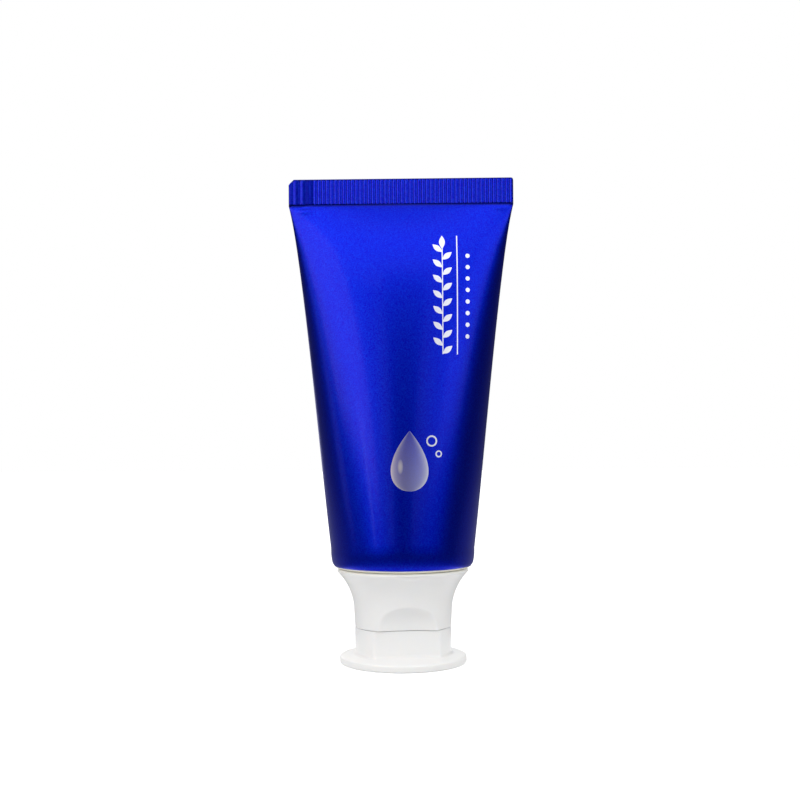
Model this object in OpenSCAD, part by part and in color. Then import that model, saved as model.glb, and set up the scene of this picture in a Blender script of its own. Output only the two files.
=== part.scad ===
// Toothpaste tube standing on its flip-top cap: a laminate sleeve with a crimped end seal, a moulded
// shoulder with its neck, a flared screw cap, and a lid on a film hinge whose wide flange is the foot.
// The origin is on the floor, on the tube's axis. X runs along the end seal, and -Y is the front.

/* [Sleeve] */
// Outside diameter of the round end of the sleeve
tube_d = 35; // [33:0.5:38]
// Length of the sleeve, from its curled lower edge to the top of the end seal
sleeve_len = 94.4; // [80:0.2:120]
// Thickness of the laminate
wall = 0.4; // [0.3:0.05:0.5]
// Outside radius at which the sleeve curls over the shoulder
corner_r = 2.2; // [1.8:0.1:2.6]
// How far the sleeve's sides draw in between the seal and the shoulder, as a share of the flattening
side_hollow = 0.082; // [0:0.002:0.12]

/* [End seal] */
// Height of the crimped end seal
seal_h = 6.4; // [5:0.1:9]
// Thickness of the pressed seal between its ribs
seal_t = 0.8; // [0.7:0.05:1]
// Distance from one crimp rib to the next
rib_pitch = 1.02; // [0.9:0.02:1.6]
// Height of a crimp rib over the groove beside it
rib_rise = 0.24; // [0.1:0.02:0.3]

/* [Shoulder and neck] */
// Thickness of the moulded shoulder
shoulder_t = 1.3; // [1:0.1:1.6]
// Rise of the shoulder from the neck to its edge, in degrees
shoulder_slope = 15; // [8:1:20]
// Height of the shoulder's skirt inside the sleeve
skirt_h = 2.6; // [1.5:0.1:5]
// Radius of the neck under its thread
neck_r = 7.2; // [6.5:0.1:7.4]
// Radius of the bore in the neck
neck_bore_r = 4.6; // [3.5:0.1:5]
// Radius of the nozzle hole in the neck's tip
nozzle_r = 2.6; // [1.8:0.1:3]
// Thickness of the neck's tip round the nozzle hole
tip_t = 1.2; // [0.8:0.1:2]
// Radial clearance between the sleeve and the shoulder fused into it
fuse_gap = 0.02; // [0.01:0.01:0.05]

/* [Toothpaste] */
// Height of the paste in the sleeve over the shoulder's skirt
fill_h = 56; // [30:1:74]
// Clearance round the paste
fill_gap = 0.15; // [0.1:0.05:0.3]

/* [Cap base] */
// Height of the cap base, from the parting line to the top of its rim
base_h = 13.95; // [13:0.05:18]
// Radius of the cap at the parting line
waist_r = 11.72; // [11.4:0.05:12.4]
// How much the cap widens from the parting line to the foot of the flare
base_draft = 0.2; // [0:0.05:0.4]
// Height over the parting line at which the flare starts
flare_from = 3.4; // [2:0.1:5]
// Radius of the cap's rim
rim_r = 16; // [15:0.1:16.3]
// Radius of the rounded lip of the rim
lip_r = 0.6; // [0.45:0.05:0.7]
// Wall of the cap base
base_wall = 1.2; // [0.9:0.05:1.4]
// Height of the open margin under the deck
deck_up = 0.8; // [0.5:0.1:1.2]
// Thickness of the deck that closes the cap base
deck_t = 1.2; // [0.8:0.1:1.6]
// Outside radius of the spout under the deck
spout_r = 3.9; // [3.4:0.1:4.6]
// Length of the spout under the deck
spout_len = 2.2; // [1.4:0.1:3]
// Radius of the hole in the spout
spout_hole_r = 2.25; // [1.8:0.05:2.5]
// Radial room for the thread between the neck and the cap's inner skirt
thread_room = 1.15; // [0.9:0.05:1.3]
// Gap under the shoulder and under the neck's tip when the cap is screwed home
seat_gap = 0.12; // [0.05:0.01:0.3]
// Angle of the cap to the end seal, where its thread stops, in degrees
cap_turn = 7.8; // [-20:0.2:20]

/* [Thumb recess and front face] */
// Distance of the front face from the axis
face_y = 8.78; // [8.4:0.02:9.4]
// Height of the thumb recess over the parting line
thumb_h = 5.6; // [4:0.1:6.5]
// Radius of the thumb recess along the front
thumb_crown_r = 40; // [25:1:80]

/* [Flip lid] */
// Height of the lid, from the floor to the parting line
lid_h = 8.76; // [8:0.02:11]
// Radius of the foot flange
foot_r = 15.5; // [14:0.1:17]
// Height of the edge of the foot flange
foot_t = 1.8; // [1.4:0.1:2.4]
// Rise of the foot flange's top, in degrees
foot_slope = 7.6; // [3:0.2:10]
// Radius on the upper edge of the foot flange
foot_edge_r = 0.4; // [0.2:0.05:0.6]
// Radius on the lower edge of the foot flange
foot_under_r = 0.5; // [0.3:0.05:0.95]
// Fillet between the foot flange and the lid's side
foot_fillet_r = 0.7; // [0.3:0.05:1]
// Depth of the dished middle of the underside
dish_depth = 0.3; // [0.1:0.05:0.5]
// Wall of the lid
lid_wall = 1.15; // [0.9:0.05:1.4]
// Thickness of the lid's floor
lid_floor_t = 1.5; // [1.2:0.1:2]
// How much narrower than the spout's hole the sealing pin is below its step
pin_gap = 0.1; // [0.06:0.01:0.2]
// How far the sealing pin reaches into the spout
pin_in = 1.1; // [0.6:0.1:1.6]
// Gap between the lid and the cap base
part_gap = 0.14; // [0.1:0.02:0.2]

/* [Film hinge] */
// Distance of the hinge axis from the tube's axis
hinge_y = 10.75; // [10.4:0.05:11.1]
// Width of the hinge film
film_w = 7; // [4:0.2:8]
// Thickness of the film where it is fixed
film_t = 0.45; // [0.3:0.05:0.6]
// Thickness of the film along its bending line
film_bend_t = 0.25; // [0.2:0.05:0.3]
// Reach of the film over the lid, and over the cap base
film_reach = 1.4; // [1:0.1:2]
// Height of the flat behind the film, on the lid and on the cap base
film_flat_h = 3.1; // [2.4:0.1:3.6]

/* [Hidden] */

// Colours
blue = "#1515b4";
cream = "#eee6cf";
white = "#f1f2f2";
mint = "#f6fbfb";

// Width of a cutter that is longer than any part of the cap is wide
cut_w = 40;
// How deep one moulded feature is let into the wall that carries it
let_in = 0.3;
// Small bevel on the neck's tip, and the wider one inside the shoulder's skirt
tip_bevel = 0.4;
skirt_bevel = 0.6;
// Half length of the thumb recess's barrel
thumb_half = 9;
// How much wider the sealing pin is at its root, and how much narrower its tip is over the step at the spout
pin_taper = 0.25;
pin_step = 0.35;
// How much wider the lid is at its foot than at the parting line
lid_draft = 0.08;
// The film is thin over this half height, and full from this one on
bend_half = 0.15;
full_from = 0.5;

// Steps round a full circle of the revolved parts, and of the sleeve and the paste
turn_steps = 96;
web_steps = 72;
fill_steps = 40;

// Heights, from the floor up
base_z = lid_h + part_gap;
deck_z = base_z + deck_up;
hinge_z = lid_h + part_gap / 2;
rim_z = base_z + base_h;
tip_z = deck_z + deck_t + seat_gap;
shoulder_z = rim_z + seat_gap * 2;

// The tube's round end
tube_r = tube_d / 2;
corner_z = shoulder_z + corner_r;
// The curl ends at this angle below the level of its centre, where the bare edge of the shoulder begins
curl_end = 50;
bare_end = 90 - shoulder_slope;
sleeve_z = corner_z - corner_r * sin(curl_end);
top_z = sleeve_z + sleeve_len;
seal_z = top_z - seal_h;
skirt_z = corner_z + skirt_h;
// Half of the flattened sleeve: a quarter of the round end's girth
half_w = PI * tube_r / 2;

// How the draw of the sides grows: the height by which it is full, its power, and its fade at the seal
draw_full = 0.785;
draw_power = 1.54;
draw_fade = 13.25;
// A crimp rib over one pitch: where it rises and falls, and its level there
rib_steps = [[0.08, 0], [0.34, 1], [0.58, 1], [0.84, 0]];
// How far the sleeve's body runs up inside the seal, and its half depth there as a share of seal_t
seal_root = 0.6;
root_share = 0.3;
// Overlap of the shoulder's edge with the end of the curl, in degrees
edge_lap = 1.5;
// Rows of the sleeve from the top of the shoulder's skirt to the seal, closer together near the seal
body_rows = [
    0, 0.05, 0.12, 0.2, 0.28, 0.36, 0.44, 0.52, 0.6, 0.68, 0.75, 0.81, 0.86, 0.9, 0.93, 0.96, 0.98, 1
];
// Angles of the rows round the curl
curl_rows = [curl_end, 40, 30, 20, 10, 0];

// A stretch of an arc as points [r, z], from angle a to angle b
function arc(c, r, a, b, n) =
    [for (i = [0:n]) c + r * [cos(a + (b - a) * i / n), sin(a + (b - a) * i / n)]];

// How flat the sleeve is at the share u of its height over the skirt: 0 is round, and 1 is flat. The
// sides draw in by side_hollow, most of it three quarters up, and meet the seal over the last millimetres.
function flatness(u) =
    let (fade = 1 - exp(-draw_fade * (1 - u)))
    u - side_hollow * fade * pow(sin(90 * min(1, u / draw_full)), draw_power);

// The laminate doesn't stretch, so every section of the sleeve is an ellipse of the round end's girth. This
// is the half depth that goes with the half width a, from Ramanujan's formula for the girth of an ellipse.
function half_depth(a) =
    let (k = 6 * tube_r + 2 * a)
    (k + sqrt(max(0, k * k - 24 * (tube_r * tube_r + a * a)))) / 6 - a;

// One row of n points round an ellipse at the height z, from the middle of the back
function oval_ring(a, b, z, n) = [for (i = [0:n - 1]) [-a * sin(360 * i / n), b * cos(360 * i / n), z]];

function round_ring(r, z, n) = oval_ring(r, r, z, n);

// A row of the sleeve at the share u of its height over the skirt, moved inwards by inset
function sleeve_ring(u, inset, n) =
    let (a = tube_r + flatness(u) * (half_w - tube_r))
    oval_ring(a - inset, max(0.05, half_depth(a) - inset), skirt_z + u * (seal_z - skirt_z), n);

// A closed solid through rings that have the same number of points, closed by a fan at either end
module loft(rings) {
    n = len(rings[0]);
    last = (len(rings) - 1) * n;
    hubs = len(rings) * n;
    polyhedron(
        points = concat(
            [for (ring = rings) each ring],
            [[0, 0, rings[0][0][2]], [0, 0, rings[len(rings) - 1][0][2]]]
        ),
        faces = concat(
            [for (i = [0:n - 1]) [hubs, i, (i + 1) % n]],
            [for (k = [0:len(rings) - 2], i = [0:n - 1])
                let (a = k * n + i, b = k * n + (i + 1) % n)
                each [[a, a + n, b + n], [a, b + n, b]]],
            [for (i = [0:n - 1]) [hubs + 1, last + (i + 1) % n, last + i]]
        ),
        convexity = 6
    );
}

// The outline of the crimped seal from above: both faces step in and out together, as the jaws press them
function rib_outline(side) =
    let (count = floor(2 * half_w / rib_pitch), start = -count * rib_pitch / 2)
    [for (i = [0:count - 1], p = rib_steps)
        [start + (i + p[0]) * rib_pitch, side * seal_t / 2 + (p[1] - 0.5) * rib_rise]];

module end_seal() {
    front = rib_outline(-1);
    back = rib_outline(1);
    ends = [[half_w, -seal_t / 2], [half_w, seal_t / 2]];
    translate([0, 0, seal_z])
        linear_extrude(seal_h)
            polygon(concat(
                [[-half_w, -seal_t / 2]], front, ends,
                [for (i = [len(back) - 1:-1:0]) back[i]], [[-half_w, seal_t / 2]]
            ));
}

// The laminate sleeve: open and curled in at the shoulder, pressed flat at the end seal
module tube_sleeve() {
    centre = [tube_r - corner_r, corner_z];
    outside = [for (a = curl_rows) round_ring(centre[0] + corner_r * cos(a),
        centre[1] - corner_r * sin(a), web_steps)];
    inside = [for (a = curl_rows) round_ring(centre[0] + (corner_r - wall) * cos(a),
        centre[1] - (corner_r - wall) * sin(a), web_steps)];
    rows = len(body_rows) - 1;
    root = oval_ring(half_w - seal_t / 2, seal_t * root_share, seal_z + seal_root, web_steps);
    color(blue)
        union() {
            loft(concat(
                [for (i = [rows - 1:-1:0]) sleeve_ring(body_rows[i], wall, web_steps)],
                [for (i = [len(curl_rows) - 1:-1:0]) inside[i]],
                outside,
                [for (i = [0:rows]) sleeve_ring(body_rows[i], 0, web_steps)],
                [root]
            ));
            end_seal();
        }
}

// The moulded shoulder: a skirt inside the sleeve, a bare rounded edge, a shallow cone and the neck
module shoulder_neck() {
    centre = [tube_r - corner_r, corner_z];
    inner_r = corner_r - wall - fuse_gap;
    skirt_r = centre[0] + inner_r;
    edge = arc(centre, corner_r, -curl_end - edge_lap, -bare_end, 5);
    cone_end = edge[len(edge) - 1];
    slope = tan(shoulder_slope);
    neck_top = cone_end[1] - (cone_end[0] - neck_r) * slope;
    room_r = skirt_r - shoulder_t;
    room_z = cone_end[1] + (room_r - cone_end[0]) * slope + shoulder_t / cos(shoulder_slope);
    bore_top = room_z - (room_r - neck_bore_r) * slope;
    color(cream)
        rotate_extrude($fn = turn_steps)
            polygon(concat(
                [[nozzle_r, tip_z], [neck_r - tip_bevel, tip_z]],
                [[neck_r, tip_z + tip_bevel], [neck_r, neck_top]],
                [for (i = [len(edge) - 1:-1:0]) edge[i]],
                arc(centre, inner_r, -curl_end - edge_lap, 0, 6),
                [[skirt_r, skirt_z], [room_r + skirt_bevel / 2, skirt_z]],
                [[room_r, skirt_z - skirt_bevel], [room_r, room_z]],
                [[neck_bore_r, bore_top], [neck_bore_r, tip_z + tip_t], [nozzle_r, tip_z + tip_t]]
            ));
}

// The paste: it fills the neck, the shoulder and most of the sleeve
module toothpaste_fill() {
    slope = tan(shoulder_slope);
    skirt_room = tube_r - wall - fuse_gap - shoulder_t - fill_gap;
    low = tip_z + tip_t + fill_gap;
    lift = fill_gap / cos(shoulder_slope) + fill_gap;
    bare_r = tube_r - corner_r + corner_r * cos(bare_end);
    cone_z = corner_z - corner_r * sin(bare_end) + shoulder_t / cos(shoulder_slope) + lift;
    bore = neck_bore_r - fill_gap;
    top_u = fill_h / (seal_z - skirt_z);
    low_u = fill_gap / (seal_z - skirt_z);
    color(mint)
        loft(concat(
            [round_ring(nozzle_r - fill_gap, tip_z + fill_gap, fill_steps),
             round_ring(nozzle_r - fill_gap, low, fill_steps),
             round_ring(bore, low, fill_steps),
             round_ring(bore, cone_z - (bare_r - bore) * slope, fill_steps),
             round_ring(skirt_room, cone_z - (bare_r - skirt_room) * slope, fill_steps),
             round_ring(skirt_room, skirt_z + fill_gap, fill_steps)],
            [for (u = concat([low_u], [for (u = body_rows) if (u > low_u && u < top_u) u], [top_u]))
                sleeve_ring(u, wall + fill_gap, fill_steps)]
        ));
}

// Outside of the cap base as points [r, z]: a slight taper, the flare as one arc, and the rounded lip
function flare_points() =
    let (
        foot = [waist_r + base_draft, base_z + flare_from],
        head = [rim_r, rim_z - lip_r],
        run = head[0] - foot[0],
        rise = head[1] - foot[1],
        r = (rise * rise + run * run) / (2 * run),
        sweep = asin(rise / r)
    )
    concat([[waist_r, base_z]], arc([foot[0] + r, foot[1]], r, 180, 180 - sweep, 12));

// Solid of the cap base's outside, moved inwards by inset
module flare_solid(inset) {
    pts = flare_points();
    rotate_extrude($fn = turn_steps)
        polygon(concat([[0, base_z]], [for (p = pts) p - [inset, 0]], [[0, rim_z - lip_r]]));
}

// A barrel lying along X whose side meets the front face at the parting line and runs out at thumb_h
module thumb_barrel(grow) {
    run = waist_r + base_draft - face_y;
    r = (thumb_h * thumb_h + run * run) / (2 * run);
    lean = asin(thumb_half / thumb_crown_r);
    translate([0, -face_y - r, base_z])
        rotate([0, 90, 0])
            rotate_extrude($fn = turn_steps)
                polygon(concat(
                    [[0, -thumb_half]],
                    arc([r + grow - thumb_crown_r, 0], thumb_crown_r, -lean, lean, 8),
                    [[0, thumb_half]]
                ));
}

// The cap base: a flared skirt, the deck with its spout, and the inner skirt round the neck
module cap_base() {
    skirt_in = neck_r + thread_room;
    skirt_clear = 0.8;
    skirt_top = shoulder_z - (tube_r - skirt_in) * tan(shoulder_slope) - skirt_clear;
    deck_mid = deck_z + deck_t / 2;
    pts = flare_points();
    lip = [rim_r - lip_r, rim_z - lip_r];
    color(white)
        rotate([0, 0, cap_turn])
            difference() {
                union() {
                    rotate_extrude($fn = turn_steps)
                        polygon(concat(
                            pts, arc(lip, lip_r, 0, 180, 8),
                            [for (i = [len(pts) - 1:-1:0]) pts[i] - [base_wall, 0]]
                        ));
                    translate([0, 0, deck_z])
                        cylinder(r = waist_r - let_in, h = deck_t, $fn = turn_steps);
                    translate([0, 0, deck_z - spout_len])
                        cylinder(r = spout_r, h = spout_len + deck_t / 2, $fn = turn_steps);
                    translate([0, 0, deck_mid])
                        cylinder(r = skirt_in + base_wall, h = skirt_top - deck_mid, $fn = turn_steps);
                    intersection() {
                        flare_solid(let_in);
                        thumb_barrel(base_wall);
                    }
                    intersection() {
                        flare_solid(let_in);
                        translate([-cut_w / 2, hinge_y - base_wall, base_z])
                            cube([cut_w, rim_r, film_flat_h + base_wall]);
                    }
                }
                thumb_barrel(0);
                translate([0, 0, deck_z + deck_t])
                    cylinder(r = skirt_in, h = base_h, $fn = turn_steps);
                translate([0, 0, deck_z - spout_len - 1])
                    cylinder(r = spout_hole_r, h = spout_len + deck_t + 2, $fn = turn_steps);
                translate([-cut_w / 2, hinge_y, base_z - 1])
                    cube([cut_w, rim_r, film_flat_h + 1]);
            }
}

// The film hinge: one thin strip behind the lid and the cap base, thinnest along its bending line
module hinge_film() {
    seat = 0.02;
    color(white)
        rotate([0, 0, cap_turn])
            translate([-film_w / 2, hinge_y + seat, hinge_z])
                rotate([90, 0, 90])
                    linear_extrude(film_w)
                        polygon([
                            [0, -film_reach], [film_t, -film_reach],
                            [film_t, -full_from], [film_bend_t, -bend_half],
                            [film_bend_t, bend_half], [film_t, full_from],
                            [film_t, film_reach], [0, film_reach]
                        ]);
}

// The lid: a cup with a flat front face, the foot flange that the tube stands on, and the sealing pin
module flip_lid() {
    slope = tan(foot_slope);
    edge = foot_edge_r;
    side_r = waist_r + lid_draft;
    face_in = face_y - lid_wall;
    flange_top = foot_t + (foot_r - face_in) * slope;
    fillet = [side_r + foot_fillet_r, foot_t + (foot_r - side_r) * slope + foot_fillet_r * 0.9];
    pin_r = spout_hole_r - pin_gap;
    floor_z = lid_floor_t + dish_depth;
    pin_h = deck_z - spout_len - floor_z;
    color(white)
        rotate([0, 0, cap_turn])
            difference() {
                union() {
                    rotate_extrude($fn = turn_steps)
                        polygon(concat(
                            [[0, 0]],
                            arc([foot_r - foot_under_r, foot_under_r], foot_under_r, -90, 0, 8),
                            arc([foot_r - edge, foot_t - edge], edge, 0, 90 - foot_slope, 5),
                            [[face_in, flange_top], [0, flange_top]]
                        ));
                    difference() {
                        rotate_extrude($fn = turn_steps)
                            polygon(concat(
                                [[0, edge], [fillet[0], edge]],
                                arc(fillet, foot_fillet_r, 270, 180, 6),
                                [[waist_r, lid_h], [0, lid_h]]
                            ));
                        translate([-cut_w / 2, -cut_w - face_y, edge])
                            cube([cut_w, cut_w, lid_h]);
                    }
                }
                translate([0, 0, -1])
                    cylinder(r = side_r - 1, h = 1 + dish_depth, $fn = turn_steps);
                translate([0, 0, floor_z])
                    difference() {
                        cylinder(r = side_r - lid_wall, h = lid_h, $fn = turn_steps);
                        translate([-cut_w / 2, -cut_w - face_in, -1])
                            cube([cut_w, cut_w, lid_h + 2]);
                        translate([-cut_w / 2, hinge_y - lid_wall, -1])
                            cube([cut_w, cut_w, lid_h + 2]);
                        cylinder(r1 = pin_r + pin_taper, r2 = pin_r, h = pin_h, $fn = turn_steps);
                        cylinder(r = pin_r - pin_step, h = pin_h + pin_in, $fn = turn_steps);
                    }
                translate([-cut_w / 2, hinge_y, lid_h - film_flat_h])
                    cube([cut_w, rim_r, film_flat_h + 1]);
            }
}

tube_sleeve();
shoulder_neck();
toothpaste_fill();
cap_base();
hinge_film();
flip_lid();
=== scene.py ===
import math

import bmesh
import bpy
import numpy as np
from mathutils import Matrix, Vector


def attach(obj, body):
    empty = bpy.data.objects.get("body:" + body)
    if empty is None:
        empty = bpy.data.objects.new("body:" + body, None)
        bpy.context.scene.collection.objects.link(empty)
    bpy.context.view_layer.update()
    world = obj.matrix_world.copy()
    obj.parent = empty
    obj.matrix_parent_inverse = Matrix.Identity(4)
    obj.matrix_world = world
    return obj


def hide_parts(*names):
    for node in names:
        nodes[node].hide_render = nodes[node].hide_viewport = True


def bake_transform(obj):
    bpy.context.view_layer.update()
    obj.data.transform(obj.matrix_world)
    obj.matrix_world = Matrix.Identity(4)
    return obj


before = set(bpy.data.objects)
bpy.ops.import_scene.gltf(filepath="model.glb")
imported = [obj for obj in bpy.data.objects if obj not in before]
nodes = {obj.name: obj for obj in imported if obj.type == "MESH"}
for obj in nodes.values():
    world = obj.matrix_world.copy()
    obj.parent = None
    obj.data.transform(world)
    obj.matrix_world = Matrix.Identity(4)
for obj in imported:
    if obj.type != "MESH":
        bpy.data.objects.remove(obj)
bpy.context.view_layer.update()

MM = 0.001

# The tube's own sizes in millimetres, the same as the solids have
TUBE_R = 17.5
CORNER_R = 2.2
CORNER_Z = 25.29
SKIRT_Z = 27.89
TAPER_R = 12.0
TAPER_Z = 27.2
TAPER_END = 12.0
CURL_R = 2.0
CURL_END = 50.0
SEAL_Z = 111.6
TOP_Z = 118.0
WALL = 0.4
SEAL_T = 0.8
RIB_PITCH = 1.02
RIB_RISE = 0.24
LINES_PER_RIB = 8
SLIP_X = 22.9
SLIP_PITCH = 1.75
NIP = 1.3
SEAL_CORNER_R = 0.6
HALF_W = math.pi * TUBE_R / 2
# How it flattens between the shoulder and the seal
SIDE_HOLLOW = 0.082
DRAW_FADE = 13.25
DRAW_FULL = 0.785
DRAW_POWER = 1.54
WEDGE_DEPTH = 0.9
WEDGE_REACH = 4.2

# The cap's
CAP_TURN = math.radians(7.8)
BASE_Z = 8.9
FLARE_Z = 12.3
RIM_Z = 22.85
RIM_R = 16.0
WAIST_R = 11.72
BASE_DRAFT = 0.2
LIP_R = 0.6
LIP_RISE = 0.1
EDGE_R = 0.05
CAP_WALL = 1.2
DECK_Z = 9.7
DECK_T = 1.2
SPOUT_R = 3.9
SPOUT_HOLE_R = 2.25
SPOUT_LEN = 2.2
INNER_SKIRT_R = 8.35
INNER_SKIRT_Z = 19.84
THUMB_H = 5.6
THUMB_CROWN_R = 40.0
THUMB_EDGE = 0.45
FACE_Y = 8.78
FACE_EDGE = 0.3
HINGE_Y = 10.75
HINGE_Z = 8.83
FLAT_H = 3.1

# The lid's, and the film's
LID_H = 8.76
LID_DRAFT = 0.08
FOOT_R = 15.5
FOOT_T = 1.8
FOOT_EDGE_R = 0.4
FOOT_UNDER_R = 0.5
FOOT_SLOPE = math.tan(math.radians(7.6))
FOOT_FILLET_R = 0.7
DISH_DEPTH = 0.3
LID_WALL = 1.15
LID_FLOOR_T = 1.5
PIN_R = 2.15
PIN_TIP_R = 1.8
PIN_TOP = 8.6
FILM_W = 7.0
FILM_T = 0.45
FILM_BEND_T = 0.25
FILM_REACH = 1.4

# The shoulder's
SHOULDER_SLOPE = math.tan(math.radians(15))
SHOULDER_T = 1.3
NECK_R = 7.2
NECK_BORE_R = 4.6
NOZZLE_R = 2.6
TIP_Z = 11.02
TIP_T = 1.2
THREAD_PITCH = 3.2
THREAD_FROM = 12.6
THREAD_TURNS = 1.5
NECK_THREAD_H = 0.7
CAP_THREAD_H = 0.4

# Degrees between the lines round a turned piece
TURN_STEP = 1.25

# The studio's, in metres, and its brightness where 1 is white
MIDDLE = (0, 0, 0.06)
REFLECTOR_FAR = 0.88
FLAG_LIFT = 0.0004
WORLD_LIGHT = 0.9
WORLD_SEEN = 1.0
FLOOR_LIFT = 0.72

# The camera's, in metres, radians and the photo's pixels
CAMERA_FAR = 0.260
CAMERA_Z = 0.049
CAMERA_LEFT = 0.00055
CAMERA_AZIMUTH = math.radians(1.2)
CAMERA_ROLL = math.radians(0.33)
FOCAL_PX = 1062.7
HORIZON_PX = 61
PICTURE_PX = 800


def linear(code):
    """The linear RGBA of an sRGB hex colour."""
    parts = [int(code[i:i + 2], 16) / 255 for i in (1, 3, 5)]
    return [c / 12.92 if c <= 0.04045 else ((c + 0.055) / 1.055) ** 2.4 for c in parts] + [1.0]


def node(tree, kind, settings=(), inputs=(), links=()):
    """Adds a node: settings are its properties, inputs its socket values, and links (socket, source) pairs."""
    made = tree.nodes.new(kind)
    for key, value in dict(settings).items():
        setattr(made, key, value)
    for key, value in dict(inputs).items():
        made.inputs[key].default_value = value
    for key, source in dict(links).items():
        tree.links.new(source, made.inputs[key])
    return made


def smooth_step(a, b, x):
    """0 below a, 1 above b, and 3t^2 - 2t^3 between them."""
    t = np.clip((x - a) / (b - a), 0, 1)
    return t * t * (3 - 2 * t)


def soft_min(a, b, k):
    """The smaller of a and b, with the crease between them rounded over the width k."""
    h = np.clip(0.5 + 0.5 * (b - a) / k, 0, 1)
    return b + (a - b) * h - k * h * (1 - h)


def bump_at(x, centre, width):
    """A bell curve: exp(-((x - centre) / width)^2)."""
    return np.exp(-((x - centre) / width) ** 2)


def arc(cr, cz, r, a, b, n):
    """Points (r, z) of an arc about (cr, cz) from angle a to angle b in degrees, n steps."""
    t = np.radians(np.linspace(a, b, n + 1))
    return np.stack([cr + r * np.cos(t), cz + r * np.sin(t)], 1)


def mesh_of(name, grid, material, body, wrap_rows=False, uv=None, flip=False, sharp=40):
    """A piece from a grid of points in mm, rows by columns: the point (i, j) makes a quad with its neighbours in
    row i + 1 and column j + 1. Columns close round. Rows close on themselves where wrap_rows, and otherwise the
    first and the last row each shrink to one point or to a line walked there and back, which welding closes."""
    rows, cols = grid.shape[:2]
    points = (grid.reshape(-1, 3) * MM).astype(np.float32)
    last = rows if wrap_rows else rows - 1
    i, j = np.meshgrid(np.arange(last), np.arange(cols), indexing="ij")
    a = i * cols + j
    b = i * cols + (j + 1) % cols
    c = ((i + 1) % rows) * cols + (j + 1) % cols
    d = ((i + 1) % rows) * cols + j
    quads = np.stack([a, b, c, d] if not flip else [a, d, c, b], -1).reshape(-1, 4)
    mesh = bpy.data.meshes.new(name)
    mesh.vertices.add(len(points))
    mesh.vertices.foreach_set("co", points.ravel())
    mesh.loops.add(quads.size)
    mesh.loops.foreach_set("vertex_index", quads.ravel())
    mesh.polygons.add(len(quads))
    mesh.polygons.foreach_set("loop_start", np.arange(0, quads.size, 4))
    mesh.polygons.foreach_set("loop_total", np.full(len(quads), 4))
    if uv is not None:
        layer = mesh.uv_layers.new(name="web")
        corner = uv.reshape(-1, 2)[quads.ravel()]
        # the last column's quads meet the first column one girth further on
        seam = (quads.ravel() % cols == 0).reshape(-1, 4) & ((quads % cols).max(1, keepdims=True) == cols - 1)
        corner[seam.ravel(), 0] += 2 * math.pi * TUBE_R
        layer.data.foreach_set("uv", corner.astype(np.float32).ravel())
    mesh.update(calc_edges=True)
    work = bmesh.new()
    work.from_mesh(mesh)
    bmesh.ops.remove_doubles(work, verts=work.verts, dist=1e-7)
    work.to_mesh(mesh)
    work.free()
    mesh.polygons.foreach_set("use_smooth", np.ones(len(mesh.polygons), bool))
    mesh.set_sharp_from_angle(angle=math.radians(sharp))
    mesh.materials.append(material)
    piece = bpy.data.objects.new(name, mesh)
    bpy.context.scene.collection.objects.link(piece)
    if body:
        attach(piece, body)
    return piece


def round_grid(rows, angles, turn=0.0):
    """The grid of points for rows (radius, height), each a number or one value per angle: x = r sin(angle + turn)
    and y = -r cos(angle + turn), so that the angle 0 is the front."""
    r = np.array([np.broadcast_to(row[0], angles.shape) for row in rows], float)
    z = np.array([np.broadcast_to(row[1], angles.shape) for row in rows], float)
    return np.stack([r * np.sin(angles + turn), -r * np.cos(angles + turn), z], -1)


def thread_ridge(angles, z, start):
    """Height of a thread's ridge at (angle, z), from 0 to 1: a right-handed helix of THREAD_TURNS turns from the
    height start, with a rounded crest 0.5 mm wide, flanks of 0.35 mm, and ends that run out over 25 degrees."""
    around = np.mod(angles, 2 * np.pi) / (2 * np.pi)
    ridge = np.zeros(np.broadcast(angles, z).shape)
    for lap in range(math.ceil(THREAD_TURNS)):
        run = lap + around
        off = np.abs(z - start - THREAD_PITCH * run)
        ends = smooth_step(0, 0.07, run) * (1 - smooth_step(THREAD_TURNS - 0.07, THREAD_TURNS, run))
        ridge = np.maximum(ridge, (1 - smooth_step(0.25, 0.6, off)) * ends)
    return ridge


def flare_radius(z):
    """Outside radius of the cap base at the height z: a slight taper, then one arc that turns out to the rim."""
    foot = WAIST_R + BASE_DRAFT
    run, rise = RIM_R - foot, RIM_Z - LIP_R - FLARE_Z
    r = (rise ** 2 + run ** 2) / (2 * run)
    up = np.maximum(0, z - FLARE_Z)
    return WAIST_R + BASE_DRAFT * np.minimum(1, (z - BASE_Z) / (FLARE_Z - BASE_Z)) + r - np.sqrt(r * r - up * up)


def thumb_radius(angles, z):
    """How far out the thumb recess cuts the ray at each angle, at the height z. The recess is a barrel lying along
    X: y = -(face + r) + sqrt(rho(x)^2 - (z - base)^2), whose radius rho falls off from r by the crown's arc."""
    run = WAIST_R + BASE_DRAFT - FACE_Y
    r = (THUMB_H ** 2 + run ** 2) / (2 * run)
    front = np.maximum(0.2, np.cos(angles))
    out = np.full(angles.shape, FACE_Y)
    for _ in range(12):
        x = np.clip(out * np.sin(angles), -9, 9)
        rho = r - THUMB_CROWN_R + np.sqrt(THUMB_CROWN_R ** 2 - x * x)
        out = (FACE_Y + r - np.sqrt(np.maximum(0, rho ** 2 - (z - BASE_Z) ** 2))) / front
    return np.where(np.cos(angles) > 0.25, out, 99)


def flat_radius(angles, distance, toward):
    """How far out a plane at that distance cuts the ray at each angle: distance / cos(angle - toward)."""
    across = np.cos(angles - toward)
    return np.where(across > 0.2, distance / np.maximum(0.2, across), 99)


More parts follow.
